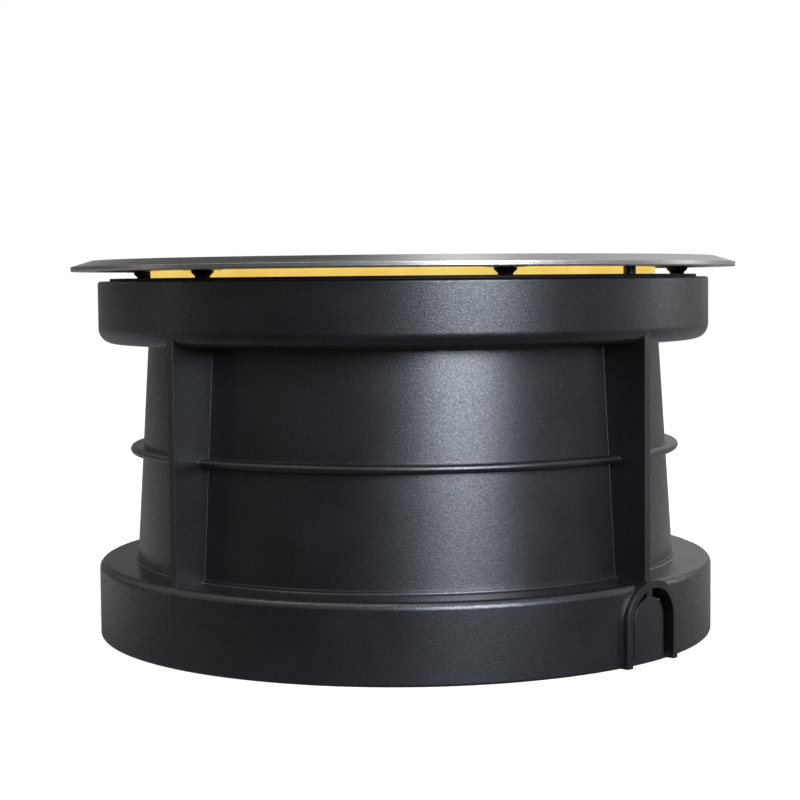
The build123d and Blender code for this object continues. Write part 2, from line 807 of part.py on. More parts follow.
with BuildPart() as clip_screws:
    with PolarLocations(clip_circle, clip_count, start_angle=bearing(clip_bearing)):
        with Locations((0, 0, clip_top)):
            add(
                screw(
                    clip_screw_diameter,
                    clip_top - gear_ceiling - 2 * blind_margin,
                    clip_screw_head,
                    clip_screw_height,
                    clip_screw_diameter * 0.8,
                )
            )
clip_screws.part.label = "clip_screws"

# --- Pivot pins: pressed in the ears, run in the heat sink's trunnions ---
trunnion_face = ear_inner - shank_clearance
trunnion_inner = holder_radius + holder_clearance
pin_end = trunnion_inner + trunnion_web
trunnion_thickness = trunnion_face - pin_end

with BuildPart() as pivot_pins:
    for side in (-1, 1):
        with BuildSketch(pivot_plane.offset(side * pin_end)):
            Circle(pivot_diameter / 2)
        extrude(amount=side * (ear_inner + ear_thickness - pin_end))
        with BuildSketch(pivot_plane.offset(side * (ear_inner + ear_thickness))):
            Circle(pivot_head / 2)
        extrude(amount=side * pivot_head_thickness)
    chamfer(pivot_pins.faces().group_by(Axis.X)[0].edges(), pivot_head_thickness * 0.25)
    chamfer(pivot_pins.faces().group_by(Axis.X)[-1].edges(), pivot_head_thickness * 0.25)
pivot_pins.part.label = "pivot_pins"

# --- Heat sink with its trunnions ---
sink_taper = 0.7

with BuildPart() as heat_sink:
    with BuildSketch(Plane.XY.offset(plate_bottom)):
        Circle(plate_radius)
    extrude(amount=plate_thickness)
    for fin in range(sink_fin_count):
        fin_x = (fin - (sink_fin_count - 1) / 2) * sink_fin_pitch
        with BuildSketch(Plane.YZ.offset(fin_x - sink_fin_thickness / 2)):
            with BuildLine():
                Polyline(
                    (-sink_fin_half_length, plate_bottom),
                    (-sink_fin_half_length, plate_bottom - sink_fin_depth * 0.4),
                    (-sink_fin_half_length * sink_taper, plate_bottom - sink_fin_depth),
                    (sink_fin_half_length * sink_taper, plate_bottom - sink_fin_depth),
                    (sink_fin_half_length, plate_bottom - sink_fin_depth * 0.4),
                    (sink_fin_half_length, plate_bottom),
                    close=True,
                )
            make_face()
        extrude(amount=sink_fin_thickness)
    for side, drop in ((-1, trunnion_crown), (1, trunnion_drop)):
        with BuildSketch(pivot_plane.offset(side * trunnion_inner)):
            with Locations((0, (trunnion_crown - drop) / 2)):
                Rectangle(trunnion_width, trunnion_crown + drop)
        extrude(amount=side * (trunnion_face - trunnion_inner))
        with BuildSketch(pivot_plane.offset(side * trunnion_face)):
            Circle(pivot_diameter / 2 + pin_clearance)
        extrude(amount=-side * (trunnion_thickness + seat_clearance), mode=Mode.SUBTRACT)
    with BuildSketch(pivot_plane.offset(trunnion_face)):
        with Locations((0, -lock_drop)):
            Circle(lock_diameter / 2 + thread_clearance)
    extrude(amount=-trunnion_thickness, mode=Mode.SUBTRACT)
    with BuildSketch(Plane.XY.offset(plate_top)):
        with PolarLocations(board_screw_circle, board_screw_count):
            Circle(board_screw_diameter / 2 + thread_clearance)
    extrude(amount=-plate_thickness, mode=Mode.SUBTRACT)
heat_sink.part.label = "heat_sink"

with BuildPart() as tilt_lock_screw:
    knob_seat = ear_inner + ear_thickness + seat_clearance
    with BuildSketch(pivot_plane.offset(pin_end + blind_margin)):
        with Locations((0, -lock_drop)):
            Circle(lock_diameter / 2)
    extrude(amount=knob_seat - pin_end - blind_margin)
    with BuildSketch(pivot_plane.offset(knob_seat)):
        with Locations((0, -lock_drop)):
            Circle(lock_knob / 2)
            with PolarLocations(lock_knob / 2, 16):
                Circle(lock_knob * 0.06, mode=Mode.SUBTRACT)
    extrude(amount=lock_knob_thickness)
tilt_lock_screw.part.label = "tilt_lock_screw"

# --- Light engine on the heat sink ---
led_spots = [
    (circle * math.cos(math.tau * i / count), circle * math.sin(math.tau * i / count))
    for circle, count in ((led_inner_circle, led_inner_count), (led_outer_circle, led_outer_count))
    for i in range(count)
]

with BuildPart() as led_board:
    with BuildSketch(Plane.XY.offset(plate_top)):
        Circle(board_radius)
        with PolarLocations(board_screw_circle, board_screw_count):
            Circle(board_screw_diameter / 2 + slip_clearance, mode=Mode.SUBTRACT)
    extrude(amount=board_thickness)
led_board.part.label = "led_board"

with BuildPart() as led_chips:
    with BuildSketch(Plane.XY.offset(board_top)):
        with Locations(*led_spots):
            Rectangle(led_side, led_side)
    extrude(amount=led_height)
led_chips.part.label = "led_chips"

lens_foot = board_top + led_height + lens_gap
mouth_level = holder_top - holder_wall

with BuildPart() as collimator:
    with BuildSketch(Plane.XZ):
        with BuildLine():
            Polyline(
                (collimator_throat - throat_wall, lens_foot),
                (collimator_throat, lens_foot),
                (collimator_mouth, mouth_level - collimator_flange_thickness),
                (collimator_flange, mouth_level - collimator_flange_thickness),
                (collimator_flange, mouth_level),
                (collimator_mouth, mouth_level),
                (collimator_mouth, holder_top - seat_clearance),
                (0, holder_top - seat_clearance),
                (0, lens_foot + throat_depth),
                (collimator_throat - 1.5 * throat_wall, lens_foot + throat_depth * 0.75),
                close=True,
            )
        make_face()
    revolve(axis=Axis.Z)

with BuildPart() as collimator_lenses:
    with Locations(*led_spots):
        add(collimator.part)
collimator_lenses.part.label = "collimator_lenses"

with BuildPart() as optic_holder:
    with BuildSketch(Plane.XY.offset(plate_top)):
        Circle(holder_radius)
    extrude(amount=holder_height)
    fillet(optic_holder.faces().sort_by(Axis.Z)[-1].edges(), holder_wall * 0.6)
    with BuildSketch(Plane.XY.offset(plate_top)):
        Circle(holder_radius - holder_wall)
    extrude(amount=holder_height - holder_wall, mode=Mode.SUBTRACT)
    with BuildSketch(Plane.XY.offset(holder_top)):
        with Locations(*led_spots):
            Circle(collimator_mouth + slip_clearance)
    extrude(amount=-holder_wall, mode=Mode.SUBTRACT)
    tab_inner = board_screw_circle - board_tab_width / 2
    with BuildSketch(Plane.XY.offset(board_top)):
        with PolarLocations((tab_inner + holder_radius - holder_wall / 2) / 2, board_screw_count):
            Rectangle(holder_radius - holder_wall / 2 - tab_inner, board_tab_width)
        with PolarLocations(board_screw_circle, board_screw_count):
            Circle(board_screw_diameter / 2 + slip_clearance, mode=Mode.SUBTRACT)
    extrude(amount=board_tab_thickness)
optic_holder.part.label = "optic_holder"

with BuildPart() as board_screws:
    with PolarLocations(board_screw_circle, board_screw_count):
        with Locations((0, 0, board_top + board_tab_thickness)):
            add(
                screw(
                    board_screw_diameter,
                    board_tab_thickness + board_thickness + plate_thickness - blind_margin,
                    board_screw_head,
                    board_screw_height,
                    board_screw_diameter * 0.8,
                )
            )
board_screws.part.label = "board_screws"

# --- Gear chamber ---
with BuildPart() as lead_grommet:
    with BuildSketch(Plane.XZ):
        with BuildLine():
            Polyline(
                (grommet_bore / 2, gear_ceiling - grommet_collar_thickness),
                (grommet_collar / 2, gear_ceiling - grommet_collar_thickness),
                (grommet_collar / 2, gear_ceiling),
                (grommet_waist / 2, gear_ceiling),
                (grommet_waist / 2, optic_floor),
                (grommet_collar / 2, optic_floor),
                (grommet_collar / 2, optic_floor + grommet_collar_thickness),
                (grommet_bore / 2, optic_floor + grommet_collar_thickness),
                close=True,
            )
        make_face()
    revolve(axis=Axis.Z)
lead_grommet.part.label = "lead_grommet"

with BuildPart() as led_driver:
    with BuildSketch(Plane.XY.offset(gear_ceiling)):
        with Locations((0, -driver_set_back)):
            Rectangle(driver_length, driver_width)
    extrude(amount=-driver_height)
    fillet(led_driver.edges().filter_by(Axis.Z), driver_corner)
    with BuildSketch(Plane.XY.offset(gear_ceiling)):
        with Locations((0, -driver_set_back)):
            Rectangle(driver_length + 2 * driver_tab, driver_tab_width)
        with Locations(*driver_screw_spots):
            Circle(driver_screw_diameter / 2 + slip_clearance, mode=Mode.SUBTRACT)
    extrude(amount=-driver_tab_thickness)
led_driver.part.label = "led_driver"

with BuildPart() as driver_screws:
    with Locations(*driver_screw_spots):
        with Locations(Location((0, 0, gear_ceiling - driver_tab_thickness), (180, 0, 0))):
            add(
                screw(
                    driver_screw_diameter,
                    driver_tab_thickness + floor_thickness - 2 * blind_margin,
                    driver_screw_diameter * 1.8,
                    driver_screw_diameter * 0.8,
                    driver_screw_diameter * 0.8,
                )
            )
driver_screws.part.label = "driver_screws"

terminal_pitch = (terminal_screw_pitch - 3 * terminal_screw_diameter) / terminal_ways
with BuildPart() as terminal_block:
    with BuildSketch(Plane.XY.offset(gear_ceiling)):
        with Locations((terminal_x, terminal_y)):
            Rectangle(terminal_length, terminal_width)
    extrude(amount=-terminal_height)
    with BuildSketch(Plane.XY.offset(gear_ceiling)):
        with Locations(*terminal_screw_spots):
            Circle(terminal_screw_diameter / 2 + slip_clearance)
    extrude(amount=-terminal_height, mode=Mode.SUBTRACT)
    with BuildSketch(Plane.XY.offset(gear_ceiling - terminal_height)):
        with Locations(*terminal_screw_spots):
            Circle(terminal_screw_diameter)
        with Locations((terminal_x, terminal_y)):
            with GridLocations(terminal_pitch, terminal_width / 2, terminal_ways, 2):
                Circle(terminal_pitch * 0.3)
    extrude(amount=terminal_height * 0.5, mode=Mode.SUBTRACT)
terminal_block.part.label = "terminal_block"

with BuildPart() as terminal_screws:
    with Locations(*terminal_screw_spots):
        with Locations(Location((0, 0, gear_ceiling - terminal_height * 0.5), (180, 0, 0))):
            add(
                screw(
                    terminal_screw_diameter,
                    terminal_height * 0.5 + floor_thickness - 2 * blind_margin,
                    terminal_screw_diameter * 1.8,
                    terminal_screw_diameter * 0.8,
                    terminal_screw_diameter * 0.8,
                )
            )
terminal_screws.part.label = "terminal_screws"

lead_start = driver_width / 2 - driver_set_back
lead_end = terminal_y - terminal_width / 2
lead_run = (lead_end - lead_start) / 4
lead_level = gear_ceiling - terminal_height * 0.6

with BuildPart() as driver_leads:
    for lead in range(lead_count):
        offset_x = (lead - (lead_count - 1) / 2) * lead_diameter * 2.5
        start_x = terminal_x / 2 + offset_x
        end_x = terminal_x + offset_x
        with BuildLine():
            route = FilletPolyline(
                (start_x, lead_start, lead_level),
                (start_x, lead_start + lead_run, lead_level),
                (end_x, lead_end - lead_run, lead_level),
                (end_x, lead_end, lead_level),
                radius=lead_run,
            )
        with BuildSketch(Plane(origin=route @ 0, z_dir=route % 0)):
            Circle(lead_diameter / 2)
        sweep()
driver_leads.part.label = "driver_leads"

with BuildPart() as earth_screw:
    with Locations(Location((earth_x, earth_y, gear_ceiling), (180, 0, 0))):
        add(
            screw(
                earth_screw_diameter,
                floor_thickness - 2 * blind_margin,
                earth_screw_diameter * 1.8,
                earth_screw_diameter * 0.7,
                earth_screw_diameter * 0.8,
            )
        )
earth_screw.part.label = "earth_screw"

# --- Gear cover with its gasket, screws and vent ---
gland_spot = (0, gland_y)
vent_turn = math.radians(bearing(vent_bearing))
vent_x = vent_circle * math.cos(vent_turn)
vent_y = vent_circle * math.sin(vent_turn)
vent_spot = (vent_x, vent_y)

with BuildPart() as gear_cover:
    with BuildSketch(Plane.XY.offset(cover_bottom)):
        Circle(cover_radius)
        with PolarLocations(cover_screw_circle, cover_screw_count):
            Circle(cover_screw_diameter / 2 + slip_clearance, mode=Mode.SUBTRACT)
        with Locations(gland_spot):
            Circle(gland_thread / 2 + thread_clearance, mode=Mode.SUBTRACT)
        with Locations(vent_spot):
            Circle(vent_thread / 2 + thread_clearance, mode=Mode.SUBTRACT)
    extrude(amount=cover_thickness)
    chamfer(gear_cover.faces().sort_by(Axis.Z)[0].outer_wire().edges(), cover_thickness * 0.25)
    with BuildSketch(Plane.XY.offset(housing_bottom)):
        Circle(cover_gasket_radius + slip_clearance)
        Circle(cover_gasket_radius - cover_gasket_width - slip_clearance, mode=Mode.SUBTRACT)
    extrude(amount=-cover_gasket_thickness, mode=Mode.SUBTRACT)
gear_cover.part.label = "gear_cover"

with BuildPart() as cover_gasket:
    with BuildSketch(Plane.XY.offset(housing_bottom - cover_gasket_thickness)):
        Circle(cover_gasket_radius)
        Circle(cover_gasket_radius - cover_gasket_width, mode=Mode.SUBTRACT)
    extrude(amount=cover_gasket_thickness)
cover_gasket.part.label = "cover_gasket"

with BuildPart() as cover_screws:
    with PolarLocations(cover_screw_circle, cover_screw_count):
        with Locations(Location((0, 0, cover_bottom), (180, 0, 0))):
            add(
                screw(
                    cover_screw_diameter,
                    cover_thickness + foot_lip_thickness - 2 * blind_margin,
                    cover_screw_diameter * 1.75,
                    cover_screw_diameter * 0.6,
                    cover_screw_diameter * 0.75,
                )
            )
cover_screws.part.label = "cover_screws"

with BuildPart() as vent_valve:
    with BuildSketch(Plane.XY.offset(cover_bottom)):
        with Locations(vent_spot):
            Circle(vent_cap / 2)
    extrude(amount=-vent_cap_height)
    fillet(vent_valve.faces().sort_by(Axis.Z)[0].edges(), vent_cap_height * 0.3)
    with BuildSketch(Plane.XY.offset(cover_bottom)):
        with Locations(vent_spot):
            Circle(vent_thread / 2)
    extrude(amount=cover_thickness * 1.5)
    with BuildSketch(Plane.XY.offset(cover_bottom - vent_cap_height)):
        with Locations(vent_spot):
            with PolarLocations(vent_cap * 0.25, 4):
                Circle(vent_cap * 0.06)
    extrude(amount=vent_cap_height * 0.5, mode=Mode.SUBTRACT)
vent_valve.part.label = "vent_valve"

# --- Cable gland in the gear cover ---
gland_hex_bottom = cover_bottom - gland_hex_height
gland_neck_bottom = gland_hex_bottom - gland_neck_height
gland_nut_top = gland_hex_bottom - seat_clearance
seal_radius = cable_diameter / 2 + seal_wall
seal_length = gland_neck_height - blind_margin

with BuildPart() as gland_body:
    with BuildSketch(Plane.XY.offset(gland_hex_bottom)):
        with Locations(gland_spot):
            RegularPolygon(gland_flats / 2, 6, major_radius=False)
    extrude(amount=gland_hex_height)
    with BuildSketch(Plane.XY.offset(cover_bottom)):
        with Locations(gland_spot):
            Circle(gland_thread / 2)
    extrude(amount=cover_thickness + gland_locknut_height + blind_margin)
    with BuildSketch(Plane.XY.offset(gland_hex_bottom)):
        with Locations(gland_spot):
            Circle(gland_neck / 2)
    extrude(amount=-gland_neck_height)
    with BuildSketch(Plane.XY.offset(gland_neck_bottom)):
        with Locations(gland_spot):
            Circle(gland_bore / 2)
    extrude(amount=housing_bottom - gland_neck_bottom + gland_thread, mode=Mode.SUBTRACT)
    with BuildSketch(Plane.XY.offset(gland_neck_bottom)):
        with Locations(gland_spot):
            Circle(seal_radius + slip_clearance)
    extrude(amount=seal_length, mode=Mode.SUBTRACT)
gland_body.part.label = "gland_body"

with BuildPart() as gland_locknut:
    with BuildSketch(Plane.XY.offset(housing_bottom)):
        with Locations(gland_spot):
            RegularPolygon(gland_flats * 0.55, 6, major_radius=False)
            Circle(gland_thread / 2 + thread_clearance, mode=Mode.SUBTRACT)
    extrude(amount=gland_locknut_height)
gland_locknut.part.label = "gland_locknut"

with BuildPart() as gland_seal:
    with BuildSketch(Plane.XY.offset(gland_neck_bottom)):
        with Locations(gland_spot):
            Circle(seal_radius)
            Circle(cable_diameter / 2, mode=Mode.SUBTRACT)
    extrude(amount=seal_length)
gland_seal.part.label = "gland_seal"

with BuildPart() as gland_nut:
    with BuildSketch(Plane.XY.offset(gland_nut_top)):
        with Locations(gland_spot):
            RegularPolygon(gland_flats / 2, 6, major_radius=False)
    extrude(amount=-gland_nut_height)
    chamfer(gland_nut.faces().sort_by(Axis.Z)[0].edges(), gland_nut_height * 0.12)
    with BuildSketch(Plane.XY.offset(gland_nut_top)):
        with Locations(gland_spot):
            Circle(gland_neck / 2 + thread_clearance)
    extrude(amount=gland_neck_bottom - slip_clearance - gland_nut_top, mode=Mode.SUBTRACT)
    with BuildSketch(Plane.XY.offset(gland_nut_top)):
        with Locations(gland_spot):
            Circle((cable_diameter + seal_wall) / 2)
    extrude(amount=-gland_nut_height, mode=Mode.SUBTRACT)
gland_nut.part.label = "gland_nut"

# --- Write one file for each piece ---
os.makedirs("parts", exist_ok=True)
export_step(mounting_sleeve.part, "parts/mounting_sleeve.step")
export_step(sleeve_rim_gasket.part, "parts/sleeve_rim_gasket.step")
export_step(sleeve_inserts.part, "parts/sleeve_inserts.step")
export_step(trim_ring.part, "parts/trim_ring.step")
export_step(ring_screws.part, "parts/ring_screws.step")
export_step(captive_washers.part, "parts/captive_washers.step")
export_step(screw_grommets.part, "parts/screw_grommets.step")
export_step(jacking_screws.part, "parts/jacking_screws.step")
export_step(lens_glass.part, "parts/lens_glass.step")
export_step(lens_gasket.part, "parts/lens_gasket.step")
export_step(lamp_housing.part, "parts/lamp_housing.step")
export_step(clamp_screws.part, "parts/clamp_screws.step")
export_step(glare_bezel.part, "parts/glare_bezel.step")
export_step(turntable.part, "parts/turntable.step")
export_step(turntable_clips.part, "parts/turntable_clips.step")
export_step(clip_screws.part, "parts/clip_screws.step")
export_step(pivot_pins.part, "parts/pivot_pins.step")
export_step(heat_sink.part, "parts/heat_sink.step")
export_step(tilt_lock_screw.part, "parts/tilt_lock_screw.step")
export_step(led_board.part, "parts/led_board.step")
export_step(led_chips.part, "parts/led_chips.step")
export_step(collimator_lenses.part, "parts/collimator_lenses.step")
export_step(optic_holder.part, "parts/optic_holder.step")
export_step(board_screws.part, "parts/board_screws.step")
export_step(lead_grommet.part, "parts/lead_grommet.step")
export_step(led_driver.part, "parts/led_driver.step")
export_step(driver_screws.part, "parts/driver_screws.step")
export_step(terminal_block.part, "parts/terminal_block.step")
export_step(terminal_screws.part, "parts/terminal_screws.step")
export_step(driver_leads.part, "parts/driver_leads.step")
export_step(earth_screw.part, "parts/earth_screw.step")
export_step(gear_cover.part, "parts/gear_cover.step")
export_step(cover_gasket.part, "parts/cover_gasket.step")
export_step(cover_screws.part, "parts/cover_screws.step")
export_step(vent_valve.part, "parts/vent_valve.step")
export_step(gland_body.part, "parts/gland_body.step")
export_step(gland_locknut.part, "parts/gland_locknut.step")
export_step(gland_seal.part, "parts/gland_seal.step")
export_step(gland_nut.part, "parts/gland_nut.step")
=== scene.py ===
import json
import math

import bmesh
import bpy
import numpy as np
from mathutils import Matrix, Vector


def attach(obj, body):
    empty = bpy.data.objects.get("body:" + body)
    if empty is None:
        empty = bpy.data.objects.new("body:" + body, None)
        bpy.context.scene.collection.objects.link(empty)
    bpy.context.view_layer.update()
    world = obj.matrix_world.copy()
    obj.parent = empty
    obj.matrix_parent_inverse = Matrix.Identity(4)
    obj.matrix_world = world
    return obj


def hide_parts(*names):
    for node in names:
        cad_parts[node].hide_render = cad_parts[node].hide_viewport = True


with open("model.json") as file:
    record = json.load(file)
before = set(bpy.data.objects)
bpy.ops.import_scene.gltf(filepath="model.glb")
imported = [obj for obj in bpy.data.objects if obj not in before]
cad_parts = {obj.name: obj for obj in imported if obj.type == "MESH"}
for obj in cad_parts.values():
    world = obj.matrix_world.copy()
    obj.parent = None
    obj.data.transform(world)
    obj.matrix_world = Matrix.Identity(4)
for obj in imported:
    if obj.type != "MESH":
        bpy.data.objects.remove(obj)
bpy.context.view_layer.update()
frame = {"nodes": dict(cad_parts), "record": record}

# In-ground well light in metres: black plastic sleeve, brushed trim ring, sealed lamp head that lifts out.
mm = 0.001
nodes = frame["nodes"]
print("frame loaded:", len(nodes), "nodes")

# the shader's inputs by the names that the finishes use; any other name is the socket's own in small letters
socketNames = {
    "baseColor": "Base Color", "specular": "Specular IOR Level", "specularColor": "Specular Tint",
    "coatWeight": "Coat Weight", "coatRoughness": "Coat Roughness", "transmission": "Transmission Weight",
    "ior": "IOR", "emissionColor": "Emission Color", "emission": "Emission Strength",
    "subsurface": "Subsurface Weight", "subsurfaceRadius": "Subsurface Radius", "subsurfaceScale": "Subsurface Scale",
}


class Wire:  # one output socket, so that shader maths can be written as plain expressions
    def __init__(self, shade, socket):
        self.shade, self.socket = shade, socket

    def __add__(self, other):
        return self.shade.maths("ADD", self, other)

    def __radd__(self, other):
        return self.shade.maths("ADD", other, self)

    def __sub__(self, other):
        return self.shade.maths("SUBTRACT", self, other)

    def __rsub__(self, other):
        return self.shade.maths("SUBTRACT", other, self)

    def __mul__(self, other):
        return self.shade.maths("MULTIPLY", self, other)

    def __rmul__(self, other):
        return self.shade.maths("MULTIPLY", other, self)

    def __pow__(self, other):
        return self.shade.maths("POWER", self, other)

    def __rpow__(self, other):
        return self.shade.maths("POWER", other, self)


class Shade:  # one material, or the world, built node by node
    def __init__(self, name="", world=None):
        self.material = world or bpy.data.materials.new(name)
        self.material.use_nodes = True
        self.tree = self.material.node_tree
        self.tree.nodes.clear()

    def add(self, kind, settings=None, inputs=None, output=0):  # any node: settings first, then its sockets
        node = self.tree.nodes.new(kind)
        for key, value in (settings or {}).items():
            if key == "stops":
                for i, (spot, level) in enumerate(value):
                    stop = node.color_ramp.elements[i] if i < 2 else node.color_ramp.elements.new(spot)
                    stop.position, stop.color = spot, (*level, 1)
            else:
                setattr(node, key, value)
        for key, value in (inputs or {}).items():
            if isinstance(value, Wire):
                self.tree.links.new(value.socket, node.inputs[key])
            else:
                node.inputs[key].default_value = value
        return Wire(self, node.outputs[output]) if node.outputs else None

    def maths(self, operation, first, second):
        return self.add("ShaderNodeMath", {"operation": operation}, {0: first, 1: second})

    def place(self):  # the piece's own coordinates in metres
        return self.add("ShaderNodeTexCoord", output="Object")

    def axes(self, vector):  # the three parts of a vector
        split = self.add("ShaderNodeSeparateXYZ", None, {0: vector}).socket.node
        return [Wire(self, split.outputs[i]) for i in range(3)]

    def rays(self, kind):  # 1 for one kind of ray, such as Is Camera Ray, and 0 for the others
        return self.add("ShaderNodeLightPath", output=kind)

    def noise(self, where, size, detail=2.0, roughness=0.5):  # cloudy noise whose lumps are about one size across
        values = {"Vector": where, "Scale": 1 / size, "Detail": detail, "Roughness": roughness}
        return self.add("ShaderNodeTexNoise", None, values, "Fac")

    def pits(self, where, size):  # distance to the nearest of scattered points, as a share of the spacing
        return self.add("ShaderNodeTexVoronoi", None, {"Vector": where, "Scale": 1 / size}, "Distance")

    def ramp(self, value, span, levels=(0, 1)):  # a line that takes one range to another and stays within it
        values = {0: value, 1: span[0], 2: span[1], 3: levels[0], 4: levels[1]}
        return self.add("ShaderNodeMapRange", None, values)

    def blend(self, share, first, second):  # a colour between two colours
        values = {0: share, 6: (*first, 1) if isinstance(first, tuple) else first}
        values[7] = (*second, 1) if isinstance(second, tuple) else second
        return self.add("ShaderNodeMix", {"data_type": "RGBA"}, values, 2)

    def tint(self, value, span, first, second):  # goes from one colour to another as a value crosses its span
        return self.blend(self.ramp(value, span), first, second)

    def bump(self, height, depth):  # relief of a depth in metres
        return self.add("ShaderNodeBump", None, {"Height": height, "Distance": depth, "Strength": 1.0})

    def rounded(self, relief, radius):  # sharp edges catch the light as if rounded by a radius
        return self.add("ShaderNodeBevel", {"samples": 6}, {"Radius": radius, "Normal": relief})

    def finish(self, **values):  # the shader itself, its colours given as three numbers
        sockets = {}
        for key, value in values.items():
            isColour = isinstance(value, tuple) and key != "subsurfaceRadius"
            sockets[socketNames.get(key, key.capitalize())] = (*value, 1) if isColour else value
        body = self.add("ShaderNodeBsdfPrincipled", None, sockets)
        self.add("ShaderNodeOutputMaterial", None, {"Surface": body})
        return self.material


def circleSpot(shade):  # angle round the Z axis, distance from it and height
    x, y, z = shade.axes(shade.place())
    return shade.maths("ARCTAN2", y, x), (x * x + y * y) ** 0.5, z


def grainedPlastic():
    # Moulded grain: fine pits and lumps in relief, with a speckled sheen over them that sparkles in the highlights.
    look = {
        "dark": (0.0022, 0.0024, 0.0030), "light": (0.0044, 0.0048, 0.0058), "tintSpan": (0.45, 0.85),
        "cloud": 30 * mm, "pits": 0.62 * mm, "lumps": 0.4, "depth": 0.027 * mm, "edge": 0.5 * mm,
        "rough": (0.26, 0.4), "roughSpan": (0.3, 0.75), "specular": 0.75, "sheen": (0.86, 0.91, 1.0),
        "speck": 0.5 * mm, "speckSpan": (0.43, 0.64), "speckRough": 0.3,
    }
    shade = Shade("grainedPlastic")
    where = shade.place()
    pits = shade.pits(where, look["pits"])
    lumps = shade.noise(where, look["pits"] * look["lumps"], 3)
    cloud = shade.noise(where, look["cloud"], 3)
    speck = shade.noise(where, look["speck"], 1)
    relief = shade.bump(pits + lumps * 0.7, look["depth"])
    return shade.finish(
        baseColor=shade.tint(cloud + lumps * 0.3, look["tintSpan"], look["dark"], look["light"]),
        roughness=shade.ramp(cloud * 0.4 + lumps * 0.7, look["roughSpan"], look["rough"]),
        normal=shade.rounded(relief, look["edge"]), specular=look["specular"], specularColor=look["sheen"],
        coatWeight=shade.ramp(speck, look["speckSpan"]), coatRoughness=look["speckRough"],
    )


def brushedRing():
    # Brushing that runs round the ring: noise that is drawn out along the turn and narrow from line to line.
    look = {
        "dark": (0.50, 0.495, 0.49), "light": (0.66, 0.655, 0.65), "tintSpan": (0.3, 0.7),
        "line": 0.12 * mm, "broad": 9, "drawnOut": 0.0015, "slope": 1.3, "depth": 0.0005 * mm, "edge": 0.3 * mm,
        "rough": (0.2, 0.34), "roughSpan": (0.3, 0.8), "anisotropic": 0.6,
    }
    shade = Shade("brushedRing")
    angle, radius, height = circleSpot(shade)
    along, across = angle * look["drawnOut"], radius + height * look["slope"]
    line = shade.add("ShaderNodeCombineXYZ", None, {0: along, 1: across, 2: 0.0})
    streak = shade.noise(line, look["line"], 4, 0.65)
    broad = shade.noise(line, look["line"] * look["broad"], 2)
    return shade.finish(
        baseColor=shade.tint(streak, look["tintSpan"], look["dark"], look["light"]), metallic=1.0,
        roughness=shade.ramp(streak * 0.6 + broad * 0.5, look["roughSpan"], look["rough"]),
        normal=shade.rounded(shade.bump(streak, look["depth"]), look["edge"]), anisotropic=look["anisotropic"],
    )


def blackRubber():
    look = {
        "dark": (0.006, 0.006, 0.0065), "light": (0.0128, 0.0128, 0.0137), "tintSpan": (0.35, 0.75),
        "mottle": 3 * mm, "dust": 0.25 * mm, "depth": 0.02 * mm, "rough": (0.42, 0.62), "specular": 0.3,
    }
    shade = Shade("blackRubber")
    where = shade.place()
    mottle, dust = shade.noise(where, look["mottle"], 4), shade.noise(where, look["dust"])
    return shade.finish(
        baseColor=shade.tint(mottle, look["tintSpan"], look["dark"], look["light"]),
        roughness=shade.ramp(dust, (0, 1), look["rough"]),
        normal=shade.bump(dust + mottle * 0.5, look["depth"]), specular=look["specular"],
    )


def amberSilicone():
    # Amber and cloudy. Its outer wall has a painted glow: emission standing in for light fed in by the glass edge.
    look = {
        "deep": (0.90, 0.60, 0.12), "pale": (0.96, 0.72, 0.18), "tintSpan": (0.35, 0.65), "glow": 0.86,
        "wall": (101.5 * mm, 102.5 * mm), "cloud": 14 * mm, "fine": 0.3 * mm, "depth": 0.008 * mm,
        "rough": (0.3, 0.45), "specular": 0.4, "subsurface": 0.35, "reach": 4 * mm, "reachByColour": (1.0, 0.5, 0.15),
    }
    shade = Shade("amberSilicone")
    where = shade.place()
    cloud, fine = shade.noise(where, look["cloud"], 3), shade.noise(where, look["fine"])
    tint = shade.tint(cloud, look["tintSpan"], look["deep"], look["pale"])
    angle, radius, height = circleSpot(shade)
    return shade.finish(
        baseColor=tint, roughness=shade.ramp(fine, (0, 1), look["rough"]), normal=shade.bump(fine, look["depth"]),
        specular=look["specular"], subsurface=look["subsurface"], subsurfaceScale=look["reach"],
        subsurfaceRadius=look["reachByColour"],
        # painted glow: emission in the gasket's own colour, only across its outer wall
        emissionColor=shade.tint(radius, look["wall"], (0, 0, 0), tint), emission=look["glow"],
    )


def turnedMetal(name, colour, rough):  # small screws and inserts, streaked and a little stained
    look = {
        "streak": 0.3 * mm, "stain": 5 * mm, "darker": 0.7, "tintSpan": (0.4, 1.0), "depth": 0.006 * mm,
        "rough": (rough - 0.06, rough + 0.12),
    }
    shade = Shade(name)
    where = shade.place()
    streak, stain = shade.noise(where, look["streak"], 4, 0.7), shade.noise(where, look["stain"], 3)
    darker = tuple(c * look["darker"] for c in colour)
    return shade.finish(
        baseColor=shade.tint(streak + stain * 0.5, look["tintSpan"], darker, colour), metallic=1.0,
        roughness=shade.ramp(stain, (0, 1), look["rough"]), normal=shade.bump(streak, look["depth"]),
    )


def paintedMetal(name, colour, rough):  # powder coat with its orange peel
    look = {
        "peel": 0.5 * mm, "cloud": 20 * mm, "lighter": (1.35, 0.003), "tintSpan": (0.35, 0.7),
        "rough": (rough - 0.08, rough + 0.1), "roughSpan": (0.3, 1.0), "specular": 0.45,
        "depth": 0.03 * mm, "edge": 0.4 * mm,
    }
    shade = Shade(name)
    where = shade.place()
    peel, cloud = shade.noise(where, look["peel"]), shade.noise(where, look["cloud"], 3)
    lighter = tuple(c * look["lighter"][0] + look["lighter"][1] for c in colour)
    return shade.finish(
        baseColor=shade.tint(cloud, look["tintSpan"], colour, lighter),
        roughness=shade.ramp(peel + cloud * 0.4, look["roughSpan"], look["rough"]),
        normal=shade.rounded(shade.bump(peel, look["depth"]), look["edge"]), specular=look["specular"],
    )


